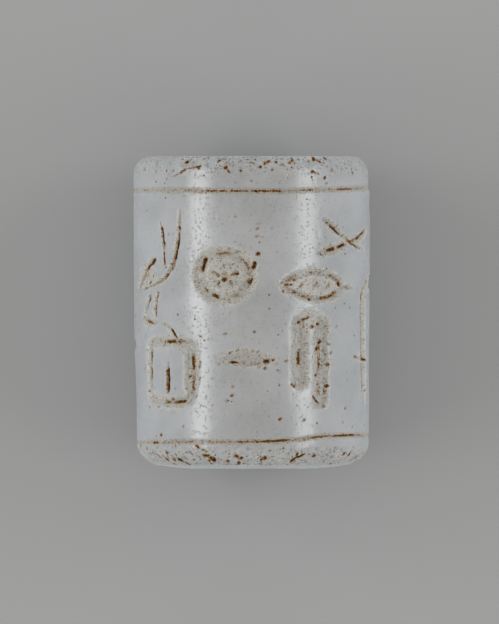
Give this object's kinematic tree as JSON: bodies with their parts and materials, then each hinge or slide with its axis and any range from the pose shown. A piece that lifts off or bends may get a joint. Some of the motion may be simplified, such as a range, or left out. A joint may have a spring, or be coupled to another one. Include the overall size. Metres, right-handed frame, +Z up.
{
  "type": "cylinder seal",
  "caption": "Lengthwise-pierced round stone seal, lying on its side, with shallow marks cut round it between two border lines to be rolled over soft clay.",
  "frame": {"origin": "centre of the small flat that the seal lies on", "axes": "+Z up, with the pictured marks facing up; +Y along the seal's own axis towards the end that is at the top of the picture; +X to the picture's right"},
  "size_m": [0.0152, 0.02, 0.015],
  "materials": {
    "stone": "milky blue-white chalcedony, softly polished, with brown dirt in its cuts"
  },
  "bodies": {
    "root": {"seal": "stone"}
  },
  "joints": []
}
